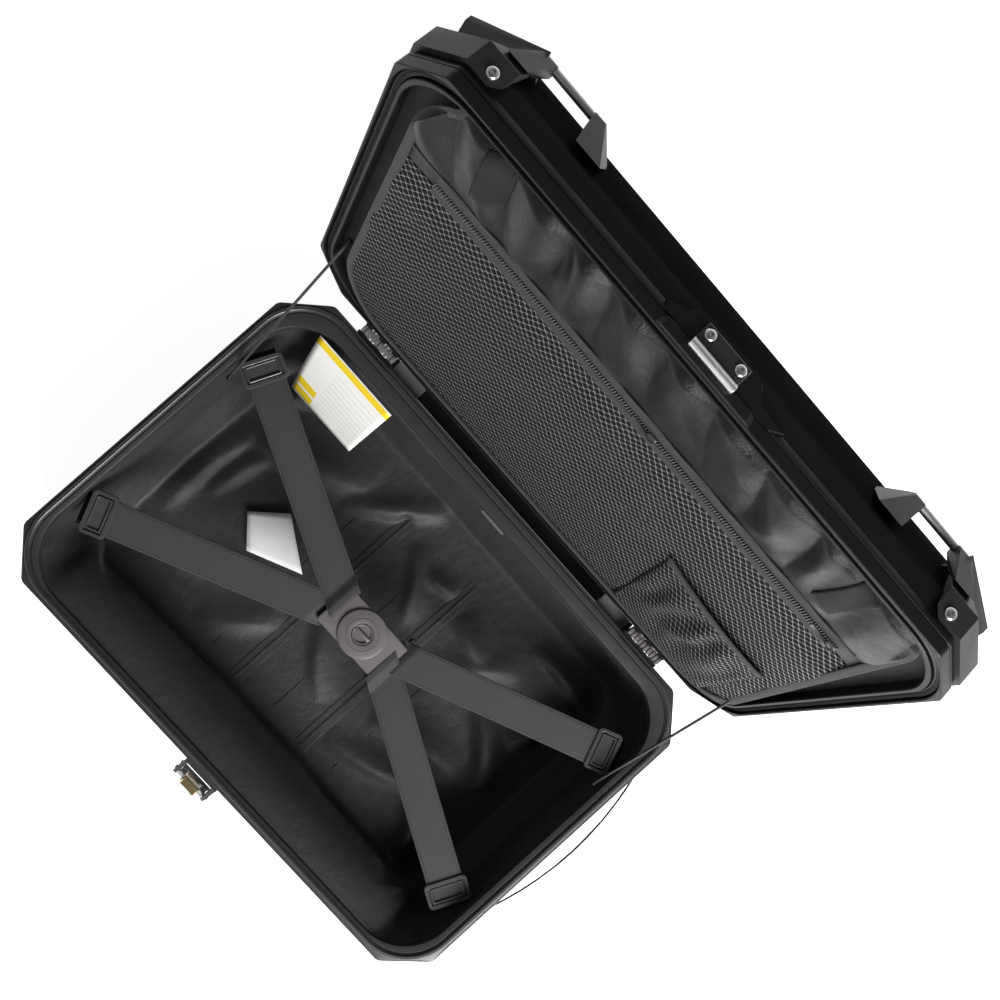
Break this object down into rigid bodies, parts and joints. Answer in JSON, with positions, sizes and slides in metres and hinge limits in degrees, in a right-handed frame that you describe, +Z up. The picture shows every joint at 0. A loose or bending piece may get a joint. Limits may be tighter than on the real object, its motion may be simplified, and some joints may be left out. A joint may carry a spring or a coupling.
{
  "type": "hard motorcycle luggage case",
  "caption": "Open octagonal hard motorcycle case: lined base with crossed straps, hinged lid with organiser panel, latch, tie-down bars and stay cords.",
  "frame": {"origin": "centre of the adapter plate's underside, on the ground plane", "axes": "+Z up, +X along the case to its handle end, +Y from the latch side to the hinge side"},
  "size_m": [0.63, 0.6515, 0.5661],
  "materials": {
    "shell": "black powder coat, fine satin texture",
    "frame": "moulded, fine grain",
    "rim": "moulded, satin",
    "plate": "black steel plate",
    "rubber": "matt rubber",
    "liner": "woven nylon lining, slight sheen",
    "webbing": "woven polyester webbing",
    "buckle": "moulded, satin",
    "steel": "bright stainless",
    "brass": "satin",
    "cover": "moulded, textured",
    "mesh": "open knitted mesh",
    "cord": "smooth round cord",
    "paper": "coated card"
  },
  "bodies": {
    "base": {"base_shell": "shell", "base_rim": "rim", "base_liner": "liner", "adapter_plate": "plate", "foot_front": "rubber", "foot_rear": "rubber", "cross_plate": "buckle", "strap_front_left": "webbing", "strap_front_right": "webbing", "strap_rear_left": "webbing", "strap_rear_right": "webbing", "floor_zip_left": "webbing", "floor_zip_right": "webbing", "hinge_left_base": "frame", "hinge_right_base": "frame", "hinge_left_pin": "steel", "hinge_right_pin": "steel", "latch_housing": "frame", "latch_pin_left": "steel", "latch_pin_right": "steel", "stay_cord_left": "cord", "stay_cord_right": "cord", "side_handle": "rubber", "stand_foot": "rubber", "label_card": "paper"},
    "lid": {"lid_shell": "shell", "lid_frame": "frame", "lid_seal": "rubber", "corner_cap_front_left": "cover", "corner_cap_front_right": "cover", "corner_cap_rear_left": "cover", "corner_cap_rear_right": "cover", "tie_post_front_left": "cover", "tie_post_front_right": "cover", "tie_post_rear_left": "cover", "tie_post_rear_right": "cover", "tie_bar_front_left": "steel", "tie_bar_front_right": "steel", "tie_bar_rear_left": "steel", "tie_bar_rear_right": "steel", "striker": "steel", "striker_cover": "cover", "lid_panel": "liner", "lid_zip": "webbing", "mesh_pocket": "mesh", "hinge_left_lid": "frame", "hinge_right_lid": "frame"},
    "lever": {"latch_lever": "steel", "hook_pin": "steel"},
    "hook": {"latch_hook": "brass"},
    "lock": {"lock_cylinder": "steel"},
    "knob": {"release_knob": "buckle"},
    "slider_fl": {"slider_front_left": "buckle"},
    "slider_fr": {"slider_front_right": "buckle"},
    "slider_rl": {"slider_rear_left": "buckle"},
    "slider_rr": {"slider_rear_right": "buckle"},
    "floor_pull_left": {"floor_puller_left": "buckle"},
    "floor_pull_right": {"floor_puller_right": "buckle"},
    "lid_pull_left": {"lid_puller_left": "buckle"},
    "lid_pull_right": {"lid_puller_right": "buckle"}
  },
  "joints": [
    {"name": "lid_hinge", "type": "hinge", "parent": "base", "child": "lid", "pos_m": [0, 0.2225, 0.1438], "axis": [1, 0, 0], "range_deg": [0, 105.8], "deforming": ["stay_cord_left", "stay_cord_right"]},
    {"name": "lever_turn", "type": "hinge", "parent": "base", "child": "lever", "pos_m": [0, -0.225, 0.098], "axis": [1, 0, 0], "range_deg": [-136, 0]},
    {"name": "hook_turn", "type": "hinge", "parent": "lever", "child": "hook", "pos_m": [0, -0.23125, 0.09153], "axis": [1, 0, 0], "range_deg": [0, 136]},
    {"name": "lock_turn", "type": "hinge", "parent": "lever", "child": "lock", "pos_m": [0, -0.23581, 0.07716], "axis": [0, -0.7193, 0.6947], "range_deg": [0, 90]},
    {"name": "knob_turn", "type": "hinge", "parent": "base", "child": "knob", "pos_m": [0.003, 0.005, 0.105], "axis": [0, 0, 1], "range_deg": [0, 90]},
    {"name": "slider_fl_slide", "type": "slide", "parent": "base", "child": "slider_fl", "axis": [0.9067, 0.4209, -0.0275], "range_m": [0, 0.14]},
    {"name": "slider_fr_slide", "type": "slide", "parent": "base", "child": "slider_fr", "axis": [-0.9024, 0.4301, -0.0281], "range_m": [0, 0.14]},
    {"name": "slider_rl_slide", "type": "slide", "parent": "base", "child": "slider_rl", "axis": [0.9213, -0.3877, -0.028], "range_m": [0, 0.14]},
    {"name": "slider_rr_slide", "type": "slide", "parent": "base", "child": "slider_rr", "axis": [-0.9176, -0.3965, -0.0286], "range_m": [0, 0.14]},
    {"name": "floor_zip_left_slide", "type": "slide", "parent": "base", "child": "floor_pull_left", "axis": [0, 1, 0], "range_m": [-0.115, 0.105]},
    {"name": "floor_zip_right_slide", "type": "slide", "parent": "base", "child": "floor_pull_right", "axis": [0, 1, 0], "range_m": [-0.135, 0.085]},
    {"name": "lid_zip_left_slide", "type": "slide", "parent": "lid", "child": "lid_pull_left", "axis": [1, 0, 0], "range_m": [-0.22, 0.17]},
    {"name": "lid_zip_right_slide", "type": "slide", "parent": "lid", "child": "lid_pull_right", "axis": [1, 0, 0], "range_m": [-0.18, 0]}
  ],
  "couplings": [
    {"joint": "hook_turn", "follows": "lever_turn", "ratio": -1}
  ]
}
